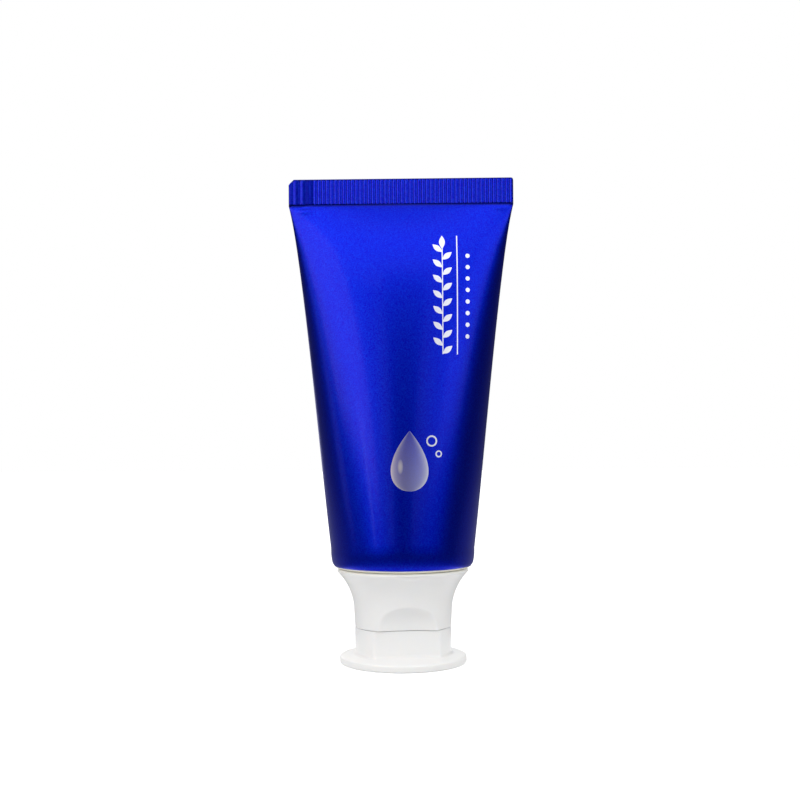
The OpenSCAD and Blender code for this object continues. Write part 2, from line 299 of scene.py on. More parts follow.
def cap_base_surface(angles):
    """The screw cap over (row, angle), closed on itself: up the flared outside with the thumb recess and the
    hinge's flat, over the lip, down inside, over the deck, round the threaded inner skirt, through the spout and
    back under the deck."""
    def outside(z):
        wide = soft_min(flare_radius(z), thumb_radius(angles, z), THUMB_EDGE)
        return np.minimum(wide, flat_radius(angles, HINGE_Y, np.pi)) if z < BASE_Z + FLAT_H else wide

    def skirt(z):
        return np.minimum(INNER_SKIRT_R + CAP_WALL, np.maximum(INNER_SKIRT_R + 0.05, outside(z) - CAP_WALL))

    ledge = BASE_Z + FLAT_H
    heights = np.concatenate([np.linspace(BASE_Z + EDGE_R, RIM_Z - LIP_R, 56), [ledge - 0.04, ledge + 0.04]])
    rows = [(outside(BASE_Z) - EDGE_R, BASE_Z), (outside(BASE_Z) - 0.3 * EDGE_R, BASE_Z + 0.3 * EDGE_R)]
    rows += [(outside(z), z) for z in np.unique(heights)]
    rows += [tuple(at) for at in arc(RIM_R - LIP_R, RIM_Z - LIP_R + LIP_RISE, LIP_R, 12, 180, 14)]
    inner = np.linspace(RIM_Z - LIP_R, DECK_Z + DECK_T + 0.4, 26)[1:]
    rows += [(np.maximum(outside(z) - CAP_WALL, skirt(z)), z) for z in inner]
    deck = DECK_Z + DECK_T
    rows += [(np.maximum(outside(deck) - CAP_WALL - inset, skirt(deck)), deck + lift)
             for inset, lift in ((0.12, 0.12), (0.4, 0))]
    rows += [(skirt(z), z) for z in np.linspace(deck, INNER_SKIRT_Z - 0.2, 12)]
    rows += [(INNER_SKIRT_R + CAP_WALL - 0.2, INNER_SKIRT_Z), (INNER_SKIRT_R + 0.3, INNER_SKIRT_Z),
             (INNER_SKIRT_R, INNER_SKIRT_Z - 0.3)]
    rows += [(INNER_SKIRT_R - CAP_THREAD_H * thread_ridge(angles + CAP_TURN, z, THREAD_FROM - THREAD_PITCH / 2), z)
             for z in np.arange(INNER_SKIRT_Z - 0.45, deck + 0.2, -0.15)]
    rows += [(INNER_SKIRT_R, deck), (SPOUT_HOLE_R + 0.25, deck), (SPOUT_HOLE_R, deck - 0.25)]
    low = DECK_Z - SPOUT_LEN
    rows += [(SPOUT_HOLE_R, low + 0.2), (SPOUT_HOLE_R + 0.2, low), (SPOUT_R - 0.15, low), (SPOUT_R, low + 0.15),
             (SPOUT_R, DECK_Z - 0.25), (SPOUT_R + 0.25, DECK_Z)]
    rows += [(outside(DECK_Z) - CAP_WALL - 0.2, DECK_Z), (outside(DECK_Z) - CAP_WALL, DECK_Z - 0.2),
             (outside(BASE_Z) - CAP_WALL, BASE_Z)]
    return round_grid(rows, angles, CAP_TURN)


def flip_lid_surface(angles):
    """The lid over (row, angle), from the middle of its underside to the tip of its pin: the dish, the foot's
    flange, the fillet, the side with its flat front, over the parting edge, down inside, and up the pin."""
    def side(z):
        upright = WAIST_R + LID_DRAFT * (LID_H - z) / LID_H
        return soft_min(upright + 0 * angles, flat_radius(angles, FACE_Y, 0), FACE_EDGE)

    dish_r = WAIST_R - 0.92
    rows = [(0, DISH_DEPTH), (dish_r - 1, DISH_DEPTH), (dish_r - 0.15, DISH_DEPTH), (dish_r, DISH_DEPTH - 0.1),
            (dish_r + 0.1, 0.06), (dish_r + 0.3, 0)]
    rows += [tuple(at) for at in arc(FOOT_R - FOOT_UNDER_R, FOOT_UNDER_R, FOOT_UNDER_R, -90, 0, 9)]
    rows += [tuple(at) for at in arc(FOOT_R - FOOT_EDGE_R, FOOT_T - FOOT_EDGE_R, FOOT_EDGE_R, 0, 82.4, 7)]
    root = side(FOOT_T + 0.6)
    fillet_r, fillet_z = root + FOOT_FILLET_R, FOOT_T + (FOOT_R - root) * FOOT_SLOPE + FOOT_FILLET_R * 0.9
    for share in np.linspace(0.04, 1, 14):
        r = (1 - share) * (FOOT_R - FOOT_EDGE_R) + share * fillet_r
        rows.append((r, FOOT_T + (FOOT_R - r) * FOOT_SLOPE))
    for t in np.radians(np.linspace(262, 180, 9)):
        rows.append((fillet_r + FOOT_FILLET_R * math.cos(t), fillet_z + FOOT_FILLET_R * math.sin(t)))
    top = LID_H - EDGE_R
    for share in np.linspace(0.06, 1, 12):
        z = (1 - share) * fillet_z + share * top
        flat = flat_radius(angles, HINGE_Y, np.pi)
        rows.append((np.where(z > LID_H - FLAT_H, np.minimum(side(z), flat), side(z)), z))
    edge = np.minimum(side(LID_H), flat_radius(angles, HINGE_Y, np.pi))
    rows += [(edge - 0.3 * EDGE_R, LID_H - 0.3 * EDGE_R), (edge - EDGE_R, LID_H), (edge - LID_WALL + 0.1, LID_H),
             (edge - LID_WALL, LID_H - 0.1)]
    floor_z = LID_FLOOR_T + DISH_DEPTH
    rows += [(edge - LID_WALL, floor_z + 0.5), (edge - LID_WALL - 0.15, floor_z + 0.15),
             (edge - LID_WALL - 0.5, floor_z)]
    step_z = DECK_Z - SPOUT_LEN
    rows += [(PIN_R + 0.55, floor_z), (PIN_R + 0.3, floor_z + 0.25), (PIN_R, step_z - 0.1), (PIN_R - 0.1, step_z),
             (PIN_TIP_R, step_z), (PIN_TIP_R, PIN_TOP - 0.3), (PIN_TIP_R - 0.09, PIN_TOP - 0.09),
             (PIN_TIP_R - 0.3, PIN_TOP), (0, PIN_TOP)]
    return round_grid(rows, angles, CAP_TURN)


def shoulder_surface(angles):
    """The moulded shoulder over (row, angle), closed on itself: out over the neck's tip, up the threaded neck,
    out along the cone to its rounded edge, up the skirt, and back down inside to the nozzle hole."""
    edge_r, edge_z = TUBE_R - CORNER_R, CORNER_Z
    rows = [(NOZZLE_R + 0.15, TIP_Z), (NECK_R - 0.4, TIP_Z), (NECK_R - 0.12, TIP_Z + 0.12), (NECK_R, TIP_Z + 0.4)]
    edge = arc(edge_r, edge_z, CORNER_R, -75, -51.5, 6)
    neck_top = edge[0][1] - (edge[0][0] - NECK_R) * SHOULDER_SLOPE
    rows += [(NECK_R + NECK_THREAD_H * thread_ridge(angles, z, THREAD_FROM), z)
             for z in np.arange(TIP_Z + 0.6, neck_top - 0.5, 0.15)]
    rows += [(NECK_R, neck_top - 0.35), (NECK_R + 0.1, neck_top - 0.07), (NECK_R + 0.4, neck_top + 0.1)]
    rows += [tuple(at) for at in edge]
    inner = CORNER_R - WALL - 0.02
    skirt_r, room_r = edge_r + inner, edge_r + inner - SHOULDER_T
    rows += [tuple(at) for at in arc(edge_r, edge_z, inner, -51.5, 0, 6)]
    room_z = edge[0][1] + (room_r - edge[0][0]) * SHOULDER_SLOPE + SHOULDER_T / math.cos(math.radians(15))
    rows += [(skirt_r, SKIRT_Z), (room_r + 0.3, SKIRT_Z), (room_r, SKIRT_Z - 0.6), (room_r, room_z + 0.3),
             (room_r - 0.3, room_z), (NECK_BORE_R, room_z - (room_r - NECK_BORE_R) * SHOULDER_SLOPE),
             (NECK_BORE_R, TIP_Z + TIP_T), (NOZZLE_R, TIP_Z + TIP_T), (NOZZLE_R, TIP_Z + 0.15)]
    return round_grid(rows, angles)


def film_surface():
    """The hinge film over (place along the hinge, place round its section): the section's thickness runs from
    FILM_BEND_T at the bending line to FILM_T by a smooth step, and both ends are closed."""
    up = np.linspace(-FILM_REACH, FILM_REACH, 29)
    thick = FILM_BEND_T + (FILM_T - FILM_BEND_T) * smooth_step(0.15, 0.5, np.abs(up))
    y = HINGE_Y + 0.02 + np.concatenate([0 * up, thick[::-1]])
    z = HINGE_Z + np.concatenate([up, up[::-1]])
    along = np.array([-1, -1, -0.98, 0.98, 1, 1]) * FILM_W / 2
    x = np.repeat(along[:, None], y.size, 1)
    y, z = np.repeat(y[None], along.size, 0), np.repeat(z[None], along.size, 0)
    y[[0, -1]], z[[0, -1]] = HINGE_Y + 0.15, HINGE_Z
    c, s = math.cos(CAP_TURN), math.sin(CAP_TURN)
    return np.stack([x * c - y * s, x * s + y * c, z], -1)


def flatness(u):
    """How flat the sleeve is at the share u of its height: u, less a draw-in of its sides that sets in as a power of
    a sine and fades as 1 - exp(-DRAW_FADE (1 - u)) just under the seal."""
    last = 1 - np.exp(-DRAW_FADE * (1 - u))
    return u - SIDE_HOLLOW * last * np.sin(np.pi / 2 * np.minimum(1, u / DRAW_FULL)) ** DRAW_POWER


def half_depth(a):
    """Half depth of the ellipse of half width a that has the round end's girth, by Ramanujan's formula."""
    k = 6 * TUBE_R + 2 * a
    return (k + math.sqrt(max(0, k * k - 24 * (TUBE_R ** 2 + a * a)))) / 6 - a


def oval(s, a, b):
    """Points of an ellipse of half width a and half depth b at the shares s of its girth, from the middle of the
    back: the angle is read from the running length, so that each column stays on one line of the web."""
    t = np.linspace(0, np.pi / 2, 721)
    length = np.concatenate([[0], np.cumsum(np.hypot(np.diff(a * np.sin(t)), np.diff(b * np.cos(t))))])
    quarter = np.minimum(np.mod(s, 0.5), 0.5 - np.mod(s, 0.5)) * 4
    angle = np.interp(quarter, length / length[-1], t)
    x = a * np.sin(angle) * np.where(s < 0.5, -1, 1)
    y = b * np.cos(angle) * np.where((s > 0.25) & (s < 0.75), -1, 1)
    return x, y


def web_columns():
    """Where the web's lines run, in shares of the girth from the middle of the back: LINES_PER_RIB for each crimp
    rib on either face, and a few more round each end of the seal."""
    count = int(2 * HALF_W / RIB_PITCH) * LINES_PER_RIB
    ribs = (np.arange(count) + 0.5 - count / 2) * RIB_PITCH / LINES_PER_RIB
    front = np.concatenate([[-HALF_W, -HALF_W + 0.12, -HALF_W + 0.3], ribs, [HALF_W - 0.3, HALF_W - 0.12]])
    share = 0.5 + front / (4 * HALF_W)
    return np.sort(np.mod(np.concatenate([share, share + 0.5]), 1))


def web_rows(s):
    """The rings of the web as (x, y, z, kind) in their order along it, each over the shares s of the girth: the
    inner face from the seal down, the curled edge, the taper above it, the outer face, and the flat seal."""
    rows = []

    def ring(a, b, z, kind):
        x, y = oval(s, a, b)
        rows.append((x, y, np.full_like(s, z), kind))

    def body(u, inset):
        a = TUBE_R + float(flatness(u)) * (HALF_W - TUBE_R)
        below = (1 - u) * (SEAL_Z - SKIRT_Z) / WEDGE_REACH
        b = half_depth(a) - WEDGE_DEPTH * below * math.exp(1 - below)
        ring(a - inset, max(0.1, b - inset), SKIRT_Z + u * (SEAL_Z - SKIRT_Z), "in" if inset else "body")

    def curve(r, z, radius, angles, kind):
        for t in np.radians(angles):
            across = r + radius * math.cos(t)
            ring(across, across, z - radius * math.sin(t), kind)

    ring(HALF_W - 0.6, 0, SEAL_Z - 0.1, "in")
    for u in (0.97, 0.88, 0.7, 0.45, 0):
        body(u, WALL)
    curve(TUBE_R - CORNER_R, CORNER_Z, CORNER_R - WALL, np.linspace(0, CURL_END, 6), "in")
    taper_r = TUBE_R - TAPER_R
    full = math.radians(TAPER_END)
    curl_r, curl_z = taper_r + (TAPER_R - CURL_R) * math.cos(full), TAPER_Z - (TAPER_R - CURL_R) * math.sin(full)
    curve(curl_r, curl_z, CURL_R, np.linspace(CURL_END, TAPER_END, 12), "curl")
    curve(taper_r, TAPER_Z, TAPER_R, np.linspace(TAPER_END, 0, 9)[1:], "body")
    for u in np.concatenate([np.linspace(0, 0.86, 36), np.linspace(0.875, 1, 22)]):
        body(u, 0)

    # the seal: flat faces whose ends are half rounds, thinner where it leaves the body and at its cut top
    left, front = np.where(s < 0.5, -1, 1), np.where((s > 0.25) & (s < 0.75), -1, 1)
    reach = 4 * HALF_W * np.minimum(np.mod(s, 0.5), 0.5 - np.mod(s, 0.5))
    x_end = HALF_W - SEAL_T / 2
    turn = np.clip((reach - x_end) / (HALF_W - x_end), 0, 1) * np.pi / 2
    flat = left * np.minimum(x_end, reach) + left * SEAL_T / 2 * np.sin(turn)
    for z, thick in ((0.03, 0.4), (0.12, 0.55), (0.28, SEAL_T), (0.5, SEAL_T), (3.2, SEAL_T), (5.0, SEAL_T),
                     (5.7, SEAL_T), (6.1, SEAL_T), (6.25, SEAL_T), (6.4, 0.7)):
        rows.append((flat, front * thick / 2 * np.cos(turn), np.full_like(s, SEAL_Z + z), "seal"))
    ring(HALF_W - 0.2, 0.18, TOP_Z, "top")
    ring(HALF_W - 0.4, 0, TOP_Z, "top")
    return rows


def crimp(x, y, z):
    """The seal's faces with the jaws' ribs: y moves by half of RIB_RISE times 1 - 2 |sin(pi x / pitch)|, the same
    way on both faces, so that the ribs on the two faces lie in step. At the left end, where the web slipped in the
    jaws, they are wider and then fade out."""
    ribs = np.abs(np.sin(np.pi * x / RIB_PITCH))
    slipped = 0.85 * np.abs(np.sin(np.pi * (x + SLIP_X) / SLIP_PITCH))
    wave = 1 - 2 * np.where(x < -SLIP_X, slipped, ribs)
    keep = (HALF_W - np.abs(x) > 0.4) * (1 - 0.85 * bump_at(x, 0.9 - SLIP_X, 1.0))
    keep = keep * (1 - smooth_step(TOP_Z - 0.3, TOP_Z, z))
    return np.where(np.abs(y) > SEAL_T / 2 - 0.01, y + 0.5 * RIB_RISE * wave * keep, y)


def cut_corners(x, z):
    """The seal's left corner is nipped off at 45 degrees, z <= top + half width - NIP + x, and the right one is
    rounded to SEAL_CORNER_R by drawing its points in to the circle."""
    z = np.where(x < 0, np.minimum(z, TOP_Z + HALF_W - NIP + x), z)
    out = np.maximum(0, x - (HALF_W - SEAL_CORNER_R)) / SEAL_CORNER_R
    up = np.maximum(0, z - (TOP_Z - SEAL_CORNER_R)) / SEAL_CORNER_R
    corner = (out > 0) & (up > 0)
    far = np.maximum(1, np.sqrt(out ** 2 + up ** 2))
    return (np.where(corner, HALF_W - SEAL_CORNER_R + SEAL_CORNER_R * out / far, x),
            np.where(corner, TOP_Z - SEAL_CORNER_R + SEAL_CORNER_R * up / far, z))


def gather(x, z):
    """Small creases where the web gathers under the seal's left end, and a faint one under the right: products of
    bell curves across and up, in mm."""
    crease = bump_at(z, 110.9, 0.4) * bump_at(x, -24.2, 1.9) - 0.7 * bump_at(z, 110.1, 0.6) * bump_at(x, -23.4, 2.2)
    return 0.26 * (crease - 0.5 * bump_at(z, 110.6, 0.5) * bump_at(x, 24.2, 1.6))


def sleeve_surface():
    """The laminate web as one closed surface over (row, share of girth), and its place on the flat web in mm: u
    from the middle of the front, v up."""
    s = web_columns()
    rows = web_rows(s)
    x, y, z = (np.array([row[axis] for row in rows]) for axis in range(3))
    kind = np.array([row[3] for row in rows])[:, None]
    web = np.stack([np.broadcast_to((s - 0.5) * 4 * HALF_W, z.shape), z], -1)
    y = np.where(kind == "seal", crimp(x, y, z), y)
    x, z = cut_corners(x, z)
    y = np.where((kind == "body") & (y < 0), y + gather(x, z), y)
    return np.stack([x, y, z], -1), web


def principled(name):
    """A new material's node tree, its shader and its Object coordinates."""
    made = bpy.data.materials.new(name)
    made.use_nodes = True
    tree = made.node_tree
    return made, tree, tree.nodes["Principled BSDF"], node(tree, "ShaderNodeTexCoord").outputs


# The bare silver of the print, as arithmetic on the web's millimetres: u across the front, v up. Each line is a
# name, a Math node's operation and its terms. The last line, silver, is 1 where the ink is left out.
PRINT = (
    # a sprig: a stem at u = 10, and lens-shaped leaves every 3.8 mm, on the right half a step higher
    ("off_stem", "SUBTRACT", "u", 10.0),
    ("on_right", "GREATER_THAN", "off_stem", 0.0),
    ("out", "ABSOLUTE", "off_stem"),
    ("risen", "MULTIPLY_ADD", "on_right", 1.9, "v"),
    ("step", "WRAP", "risen", 2.6, -1.2),
    ("step_lean", "MULTIPLY", "step", 0.64),
    ("along", "MULTIPLY_ADD", "out", 0.77, "step_lean"),
    ("step_up", "MULTIPLY", "step", 0.77),
    ("across", "MULTIPLY_ADD", "out", -0.64, "step_up"),
    ("from_rib", "ABSOLUTE", "across"),
    ("phase", "MULTIPLY", "along", math.pi / 3.0),
    ("lens", "SINE", "phase"),
    ("leaf_half", "MULTIPLY", "lens", 0.66),
    ("leaf", "LESS_THAN", "from_rib", "leaf_half"),
    ("near", "LESS_THAN", "out", 2.7),
    ("leaf_rows", "COMPARE", "risen", 88.1, 13.3),
    ("leaf_near", "MULTIPLY", "leaf", "near"),
    ("leaves", "MULTIPLY", "leaf_near", "leaf_rows"),
    ("stem_line", "COMPARE", "off_stem", 0.0, 0.12),
    ("stem_rows", "COMPARE", "v", 87.0, 13.0),
    ("stem", "MULTIPLY", "stem_line", "stem_rows"),
    ("tip_phase", "MULTIPLY_ADD", "v", math.pi / 3.4, -math.pi / 3.4 * 99.6),
    ("tip_lens", "SINE", "tip_phase"),
    ("tip_half", "MULTIPLY", "tip_lens", 0.7),
    ("tip_leaf", "LESS_THAN", "out", "tip_half"),
    ("tip_rows", "COMPARE", "v", 101.3, 2.0),
    ("tip", "MULTIPLY", "tip_leaf", "tip_rows"),
    ("plant", "MAXIMUM", "leaves", "stem"),
    ("sprig", "MAXIMUM", "plant", "tip"),
    # a thin rule at u = 13.6, and a row of dots at u = 16.2
    ("line", "COMPARE", "u", 13.6, 0.13),
    ("line_rows", "COMPARE", "v", 88.5, 14.5),
    ("rule", "MULTIPLY", "line", "line_rows"),
    ("dot_u", "SUBTRACT", "u", 16.2),
    ("dot_v", "WRAP", "v", 1.4, -1.4),
    ("dot_uu", "MULTIPLY", "dot_u", "dot_u"),
    ("dot_rr", "MULTIPLY_ADD", "dot_v", "dot_v", "dot_uu"),
    ("dot", "LESS_THAN", "dot_rr", 0.28),
    ("dot_rows", "COMPARE", "v", 88.2, 11.1),
    ("dots", "MULTIPLY", "dot", "dot_rows"),
    # a drop about u = 2 that stands on v = 42: its half width is 11.4 sqrt(t) (1 - t), and its rim is the brightest
    ("t", "MULTIPLY_ADD", "v", 1 / 14, -3.0),
    ("root", "SQRT", "t"),
    ("taper", "SUBTRACT", 1.0, "t"),
    ("wide", "MULTIPLY", "root", "taper"),
    ("drop_half", "MULTIPLY", "wide", 11.4),
    ("drop_u", "SUBTRACT", "u", 2.0),
    ("drop_off", "ABSOLUTE", "drop_u"),
    ("inside", "LESS_THAN", "drop_off", "drop_half"),
    ("share", "DIVIDE", "drop_u", "drop_half"),
    ("rim", "POWER", "share", 4.0),
    ("depth", "MULTIPLY_ADD", "taper", 0.28, 0.14),
    ("body", "MULTIPLY_ADD", "rim", 0.6, "depth"),
    ("sheen_u", "MULTIPLY_ADD", "u", 1.1, 0.2),
    ("sheen_v", "MULTIPLY_ADD", "v", 0.42, -20.0),
    ("sheen_uu", "MULTIPLY", "sheen_u", "sheen_u"),
    ("sheen_rr", "MULTIPLY_ADD", "sheen_v", "sheen_v", "sheen_uu"),
    ("sheen", "MULTIPLY_ADD", "sheen_rr", -1.0, 0.95),
    ("lit", "MAXIMUM", "body", "sheen"),
    ("drop", "MULTIPLY", "inside", "lit"),
    # two bubbles beside it, each a thin ring
    ("big_u", "SUBTRACT", "u", 7.2),
    ("big_v", "SUBTRACT", "v", 53.6),
    ("big_uu", "MULTIPLY", "big_u", "big_u"),
    ("big_rr", "MULTIPLY_ADD", "big_v", "big_v", "big_uu"),
    ("big", "COMPARE", "big_rr", 1.3, 0.42),
    ("small_u", "SUBTRACT", "u", 8.9),
    ("small_v", "SUBTRACT", "v", 50.6),
    ("small_uu", "MULTIPLY", "small_u", "small_u"),
    ("small_rr", "MULTIPLY_ADD", "small_v", "small_v", "small_uu"),
    ("small", "COMPARE", "small_rr", 0.45, 0.22),
    ("bubbles", "MAXIMUM", "big", "small"),
    ("lower", "MAXIMUM", "drop", "bubbles"),
    ("right_side", "MAXIMUM", "rule", "dots"),
    ("upper", "MAXIMUM", "sprig", "right_side"),
    ("silver", "MAXIMUM", "upper", "lower"),
)

# Painted shade in the crimp's grooves and in the crease under the seal; the slipped end, the cut top edge and the lap
# seam are darker too. It is written as PRINT is, with x as the place across the piece in mm. The last line is what is
# left of the ink's brightness.
SHADE_AND_SEAM = (
    # the crimp's grooves darkened as painted shade, and the plainer end where the web slipped, darker too
    ("rib_phase", "MULTIPLY", "x", math.pi / RIB_PITCH),
    ("rib_wave", "SINE", "rib_phase"),
    ("rib_crest", "ABSOLUTE", "rib_wave"),
    ("groove", "MULTIPLY_ADD", "rib_crest", -1.6, 1.0),
    ("groove_shade", "MAXIMUM", "groove", 0.0),
    ("past_slip", "GREATER_THAN", "x", 1.6 - SLIP_X),
    ("ribbed", "MULTIPLY", "groove_shade", "past_slip"),
    ("slipped", "MULTIPLY_ADD", "past_slip", -0.3, 0.3),
    ("groove_shade_and_slip", "MAXIMUM", "ribbed", "slipped"),
    ("on_seal", "GREATER_THAN", "v", SEAL_Z),
    ("seal_shade", "MULTIPLY", "groove_shade_and_slip", "on_seal"),
    # painted shade in the crease under the seal, and a darker cut top edge
    ("crease", "COMPARE", "v", SEAL_Z - 0.05, 0.32),
    ("crease_shade", "MULTIPLY", "crease", 0.85),
    ("seal_and_crease", "MAXIMUM", "seal_shade", "crease_shade"),
    ("cut_edge", "COMPARE", "v", TOP_Z - 0.1, 0.25),
    ("pressed_end", "MAXIMUM", "seal_and_crease", "cut_edge"),
    # the web's lap seam up the middle of the back
    ("seam_line", "COMPARE", "u", 2 * HALF_W - 0.8, 0.1),
    ("below_seal", "LESS_THAN", "v", SEAL_Z),
    ("seam", "MULTIPLY", "seam_line", "below_seal"),
    ("seam_dark", "MULTIPLY", "seam", 0.7),
    ("pressed", "MAXIMUM", "pressed_end", "seam_dark"),
    ("ink_left_after_shade", "MULTIPLY_ADD", "pressed", -0.6, 1.0),
)


def laminate():
    """Aluminium-barrier laminate, gravure printed in transparent blue ink and matt varnished: the foil under the
    ink gives a deep metallic blue with a fine speckle of flakes, and the varnish a soft whitish gloss over it.
    Where the ink is left out, the foil shows as bare silver."""
    made, tree, shader, coords = principled("printed_foil_laminate")
    web_at = node(tree, "ShaderNodeUVMap", {"uv_map": "web"}).outputs["UV"]
    split = node(tree, "ShaderNodeSeparateXYZ", links={"Vector": web_at}).outputs
    place = node(tree, "ShaderNodeSeparateXYZ", links={"Vector": coords["Object"]}).outputs
    value = {"u": split["X"], "v": split["Y"],
             "x": node(tree, "ShaderNodeMath", {"operation": "DIVIDE"}, {1: MM}, {0: place["X"]}).outputs[0]}
    for name, operation, *terms in PRINT + SHADE_AND_SEAM:
        numbers = {i: term for i, term in enumerate(terms) if not isinstance(term, str)}
        sockets = {i: value[term] for i, term in enumerate(terms) if isinstance(term, str)}
        value[name] = node(tree, "ShaderNodeMath", {"operation": operation}, numbers, sockets).outputs[0]

    # real flakes are 0.02 mm, too fine to show, so they are drawn 0.3 mm wide
    grain = node(tree, "ShaderNodeTexNoise", inputs={"Scale": 1 / (0.3125 * MM), "Detail": 2.0, "Roughness": 0.6},
                 links={"Vector": coords["Object"]})
    tone = node(tree, "ShaderNodeMapRange", inputs={"From Min": 0.3, "From Max": 0.7, "To Min": 0.86, "To Max": 1.11},
                links={"Value": grain.outputs["Fac"]})
    # the grain's tone times what the painted shade of the grooves and crease, and the seam, leave of the ink's
    # brightness
    tone = node(tree, "ShaderNodeMath", {"operation": "MULTIPLY"},
                links={0: tone.outputs["Result"], 1: value["ink_left_after_shade"]})
    flake = node(tree, "ShaderNodeMapRange", inputs={"From Min": 0.35, "From Max": 0.65},
                 links={"Value": grain.outputs["Fac"]})
    flakes = node(tree, "ShaderNodeMix", {"data_type": "RGBA"}, {"A": linear("#010ac8"), "B": linear("#0228c8")},
                  {"Factor": flake.outputs["Result"]})
    ink = node(tree, "ShaderNodeMix", {"data_type": "RGBA", "blend_type": "MULTIPLY"}, {"Factor": 1.0},
               {"A": flakes.outputs["Result"], "B": tone.outputs[0]})
    colour = node(tree, "ShaderNodeMix", {"data_type": "RGBA"}, {"B": linear("#dfe2ee")},
                  {"Factor": value["silver"], "A": ink.outputs["Result"]})
    tree.links.new(colour.outputs["Result"], shader.inputs["Base Color"])
    bump = node(tree, "ShaderNodeBump", inputs={"Strength": 0.4, "Distance": 0.00002},
                links={"Height": grain.outputs["Fac"]})
    tree.links.new(bump.outputs["Normal"], shader.inputs["Normal"])
    shader.inputs["Metallic"].default_value = 1.0
    shader.inputs["Roughness"].default_value = 0.37
    shader.inputs["Coat Weight"].default_value = 0.13
    shader.inputs["Coat Roughness"].default_value = 0.15
    return made


def moulded(name, code, roughness, grain_mm, strength, depth_mm):
    """Moulded plastic: an even colour, light that goes depth_mm into it, and the mould's faint grain."""
    made, tree, shader, coords = principled(name)
    shader.inputs["Base Color"].default_value = linear(code)
    shader.inputs["Roughness"].default_value = roughness
    shader.inputs["Subsurface Weight"].default_value = 0.5
    shader.inputs["Subsurface Radius"].default_value = (1.0, 0.9, 0.8)
    shader.inputs["Subsurface Scale"].default_value = depth_mm * MM
    skin = node(tree, "ShaderNodeTexNoise", inputs={"Scale": 1 / (grain_mm * MM), "Detail": 2.0},
                links={"Vector": coords["Object"]})
    bump = node(tree, "ShaderNodeBump", inputs={"Strength": strength, "Distance": 0.00005},
                links={"Height": skin.outputs["Fac"]})
    tree.links.new(bump.outputs["Normal"], shader.inputs["Normal"])
    return made


def card_paint(name, level, top_level=None, low=0.0, high=1.0, code="#ffffff"):
    """A card's dim glow, that only what is glossy sees: level, or from level at the height low up to top_level at
    the height high, by the square of the share."""
    made = bpy.data.materials.new(name)
    made.use_nodes = True
    tree = made.node_tree
    tree.nodes.clear()
    place = node(tree, "ShaderNodeTexCoord").outputs["Object"]
    height = node(tree, "ShaderNodeSeparateXYZ", links={"Vector": place}).outputs["Z"]
    share = node(tree, "ShaderNodeMapRange", inputs={"From Min": low, "From Max": high}, links={"Value": height})
    square = node(tree, "ShaderNodeMath", {"operation": "POWER"}, {1: 2.0}, {0: share.outputs["Result"]})
    top = level if top_level is None else top_level
    glow = node(tree, "ShaderNodeMapRange", {}, {"To Min": level, "To Max": top}, {"Value": square.outputs[0]})
    shine = node(tree, "ShaderNodeEmission", {}, {"Color": linear(code)}, {"Strength": glow.outputs["Result"]})
    node(tree, "ShaderNodeOutputMaterial", links={"Surface": shine.outputs[0]})
    return made


def for_gloss_only(name, points, faces, paint):
    """A piece of the studio that only reflections see."""
    mesh = bpy.data.meshes.new(name)
    mesh.from_pydata([list(point) for point in points], [], faces)
    mesh.materials.append(paint)
    piece = bpy.data.objects.new(name, mesh)
    bpy.context.scene.collection.objects.link(piece)
    piece.visible_camera = piece.visible_diffuse = piece.visible_shadow = False


def card(name, centre, toward, width, height, paint):
    """A flat studio card in metres that faces a point."""
    c = Vector(centre)
    turn = (Vector(toward) - c).to_track_quat("Z", "Y").to_matrix()
    w, h = width / 2, height / 2
    corners = [c + turn @ Vector(p) for p in ((-w, -h, 0), (w, -h, 0), (w, h, 0), (-w, h, 0))]
    for_gloss_only(name, corners, [(0, 1, 2, 3)], paint)


def reflector(name, corners, paint):
    """A four-cornered card REFLECTOR_FAR from the middle of the tube. Its corners stand at (azimuth to the left of
    the front, elevation) in degrees: x = -sin a cos e, y = -cos a cos e, z = sin e, times the distance."""
    a, e = np.radians(np.array(corners)).T
    points = np.stack([-np.sin(a) * np.cos(e), -np.cos(a) * np.cos(e), np.sin(e)], 1) * REFLECTOR_FAR + MIDDLE
    for_gloss_only(name, points, [(0, 1, 2, 3)], paint)


def ring_flag(name, start, stop, near, far, paint):
    """Part of a ring round the tube, from one angle to the other in degrees, between two circles (radius, height):
    x = r cos t, y = r sin t."""
    turn = np.radians(np.arange(start, stop + 1, 5))
    lines = [np.stack([r * np.cos(turn), r * np.sin(turn), 0 * turn + z], 1) for r, z in (near, far)]
    n = len(turn)
    faces = [(i, n + i, n + i + 1, i + 1) for i in range(n - 1)]
    for_gloss_only(name, np.concatenate(lines), faces, paint)


def softbox(name, place, toward, width, height, watts):
    """A rectangular studio lamp in metres that shines towards a point."""
    lamp = bpy.data.lights.new(name, "AREA")
    lamp.shape = "RECTANGLE"
    lamp.size, lamp.size_y, lamp.energy = width, height, watts
    made = bpy.data.objects.new(name, lamp)
    made.location = place
    made.rotation_euler = (Vector(place) - Vector(toward)).to_track_quat("Z", "Y").to_euler()
    bpy.context.scene.collection.objects.link(made)


def white_to_view(tree, plain, white):
    """Mixes a plain shader with a white one that camera, glossy and transmission rays see."""
    path = node(tree, "ShaderNodeLightPath").outputs
    seen = node(tree, "ShaderNodeMath", {"operation": "MAXIMUM"},
                links={0: path["Is Camera Ray"], 1: path["Is Glossy Ray"]})
    seen = node(tree, "ShaderNodeMath", {"operation": "MAXIMUM"},
                links={0: seen.outputs[0], 1: path["Is Transmission Ray"]})
    return node(tree, "ShaderNodeMixShader", links={0: seen.outputs[0], 1: plain, 2: white}).outputs[0]


